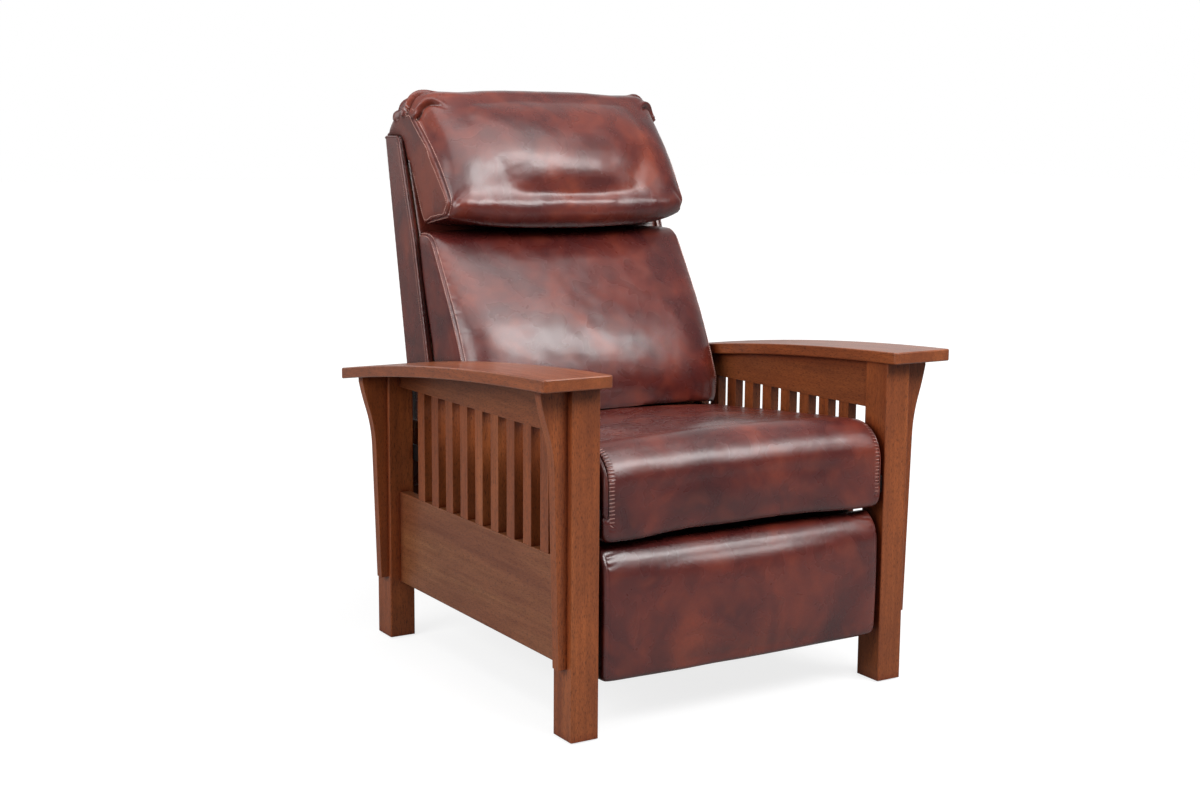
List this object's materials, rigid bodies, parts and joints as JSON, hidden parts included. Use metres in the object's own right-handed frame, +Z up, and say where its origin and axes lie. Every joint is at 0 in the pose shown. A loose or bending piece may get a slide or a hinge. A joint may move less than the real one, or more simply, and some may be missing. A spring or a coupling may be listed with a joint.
{
  "type": "reclining armchair",
  "caption": "Upholstered push-back recliner on a slatted wooden arm frame, with gliding seat, linked folding footrest, reclining back and head pillow.",
  "frame": {"origin": "on the floor, under the middle of the chair's bounding box", "axes": "+Z up, -Y the way the sitter faces, +X to the right of someone facing the chair"},
  "size_m": [0.83, 0.865, 1.0601],
  "materials": {
    "stained_wood": "satin reddish-brown mission stain",
    "frame_wood": "plain planed hardwood",
    "leather": "semi-gloss mottled oxblood leather",
    "webbing": "woven upholstery webbing",
    "black_steel": "black coated steel strip",
    "zinc": "zinc plated steel",
    "glide": "brown nylon glide"
  },
  "bodies": {
    "arm_frame": {"arm_left": "stained_wood", "arm_right": "stained_wood", "base_bolts": "zinc", "base_rail_left": "black_steel", "base_rail_right": "black_steel", "base_rivets": "zinc", "corbel_front_left": "stained_wood", "corbel_front_right": "stained_wood", "corbel_rear_left": "stained_wood", "corbel_rear_right": "stained_wood", "floor_glides": "glide", "front_stretcher": "frame_wood", "leg_front_left": "stained_wood", "leg_front_right": "stained_wood", "leg_rear_left": "stained_wood", "leg_rear_right": "stained_wood", "rear_stretcher": "frame_wood", "side_panel_left": "stained_wood", "side_panel_right": "stained_wood", "side_slats_left": "stained_wood", "side_slats_right": "stained_wood", "top_rail_left": "stained_wood", "top_rail_right": "stained_wood"},
    "front_swing": {"front_swing_links": "black_steel"},
    "rear_swing": {"rear_swing_links": "black_steel"},
    "seat": {"seat_plate_left": "black_steel", "seat_plate_right": "black_steel", "seat_rail_left": "frame_wood", "seat_rail_right": "frame_wood", "seat_rail_front": "frame_wood", "seat_rail_rear": "frame_wood", "seat_webbing": "webbing", "seat_bolts": "zinc", "seat_cushion": "leather", "seat_rivets": "zinc"},
    "rear_links": {"footrest_rear_links": "black_steel", "footrest_cross_tube": "black_steel", "knee_rivets": "zinc"},
    "front_links": {"footrest_front_links": "black_steel", "front_link_rivets": "zinc"},
    "long_links": {"footrest_long_links": "black_steel"},
    "short_links": {"footrest_short_links": "black_steel"},
    "footrest": {"footrest_rivets": "zinc", "footrest_board": "frame_wood", "footrest_pad": "leather", "footrest_bracket_left": "black_steel", "footrest_bracket_right": "black_steel", "footrest_screws": "zinc"},
    "backrest": {"back_post_left": "frame_wood", "back_post_right": "frame_wood", "back_rail_low": "frame_wood", "back_rail_middle": "frame_wood", "back_rail_top": "frame_wood", "back_webbing": "webbing", "inside_back": "leather", "back_brackets": "black_steel", "back_bolts": "zinc", "outside_back": "leather", "back_cushion": "leather", "head_pillow": "leather"}
  },
  "joints": [
    {"name": "seat_glide", "type": "hinge", "parent": "arm_frame", "child": "rear_swing", "pos_m": [0, 0.0955, 0.365], "axis": [-1, 0, 0], "range_deg": [0, 35]},
    {"name": "front_swing_turn", "type": "hinge", "parent": "arm_frame", "child": "front_swing", "pos_m": [0, -0.2945, 0.365], "axis": [-1, 0, 0], "range_deg": [0, 35]},
    {"name": "seat_level", "type": "hinge", "parent": "rear_swing", "child": "seat", "pos_m": [0, 0.0764, 0.25667], "axis": [-1, 0, 0], "range_deg": [-35, 0]},
    {"name": "rear_link_fold", "type": "hinge", "parent": "seat", "child": "rear_links", "pos_m": [0, -0.1645, 0.307], "axis": [-1, 0, 0], "range_deg": [0, 92]},
    {"name": "front_link_fold", "type": "hinge", "parent": "seat", "child": "front_links", "pos_m": [0, -0.2645, 0.32], "axis": [-1, 0, 0], "range_deg": [0, 92]},
    {"name": "long_link_fold", "type": "hinge", "parent": "rear_links", "child": "long_links", "pos_m": [0, -0.11321, 0.1013], "axis": [-1, 0, 0], "range_deg": [-92, 0]},
    {"name": "short_link_fold", "type": "hinge", "parent": "front_links", "child": "short_links", "pos_m": [0, -0.2299, 0.18125], "axis": [-1, 0, 0], "range_deg": [-92, 0]},
    {"name": "footrest_turn", "type": "hinge", "parent": "long_links", "child": "footrest", "pos_m": [0, -0.3165, 0.19], "axis": [-1, 0, 0], "range_deg": [0, 92]},
    {"name": "back_recline", "type": "hinge", "parent": "seat", "child": "backrest", "pos_m": [0, 0.2355, 0.345], "axis": [-1, 0, 0], "range_deg": [0, 32]}
  ],
  "couplings": [
    {"joint": "front_swing_turn", "follows": "seat_glide", "ratio": 1},
    {"joint": "seat_level", "follows": "seat_glide", "ratio": -1},
    {"joint": "rear_link_fold", "follows": "seat_glide", "ratio": 2.6285},
    {"joint": "front_link_fold", "follows": "seat_glide", "ratio": 2.6285},
    {"joint": "long_link_fold", "follows": "seat_glide", "ratio": -2.6285},
    {"joint": "short_link_fold", "follows": "seat_glide", "ratio": -2.6285},
    {"joint": "footrest_turn", "follows": "seat_glide", "ratio": 2.6285}
  ]
}
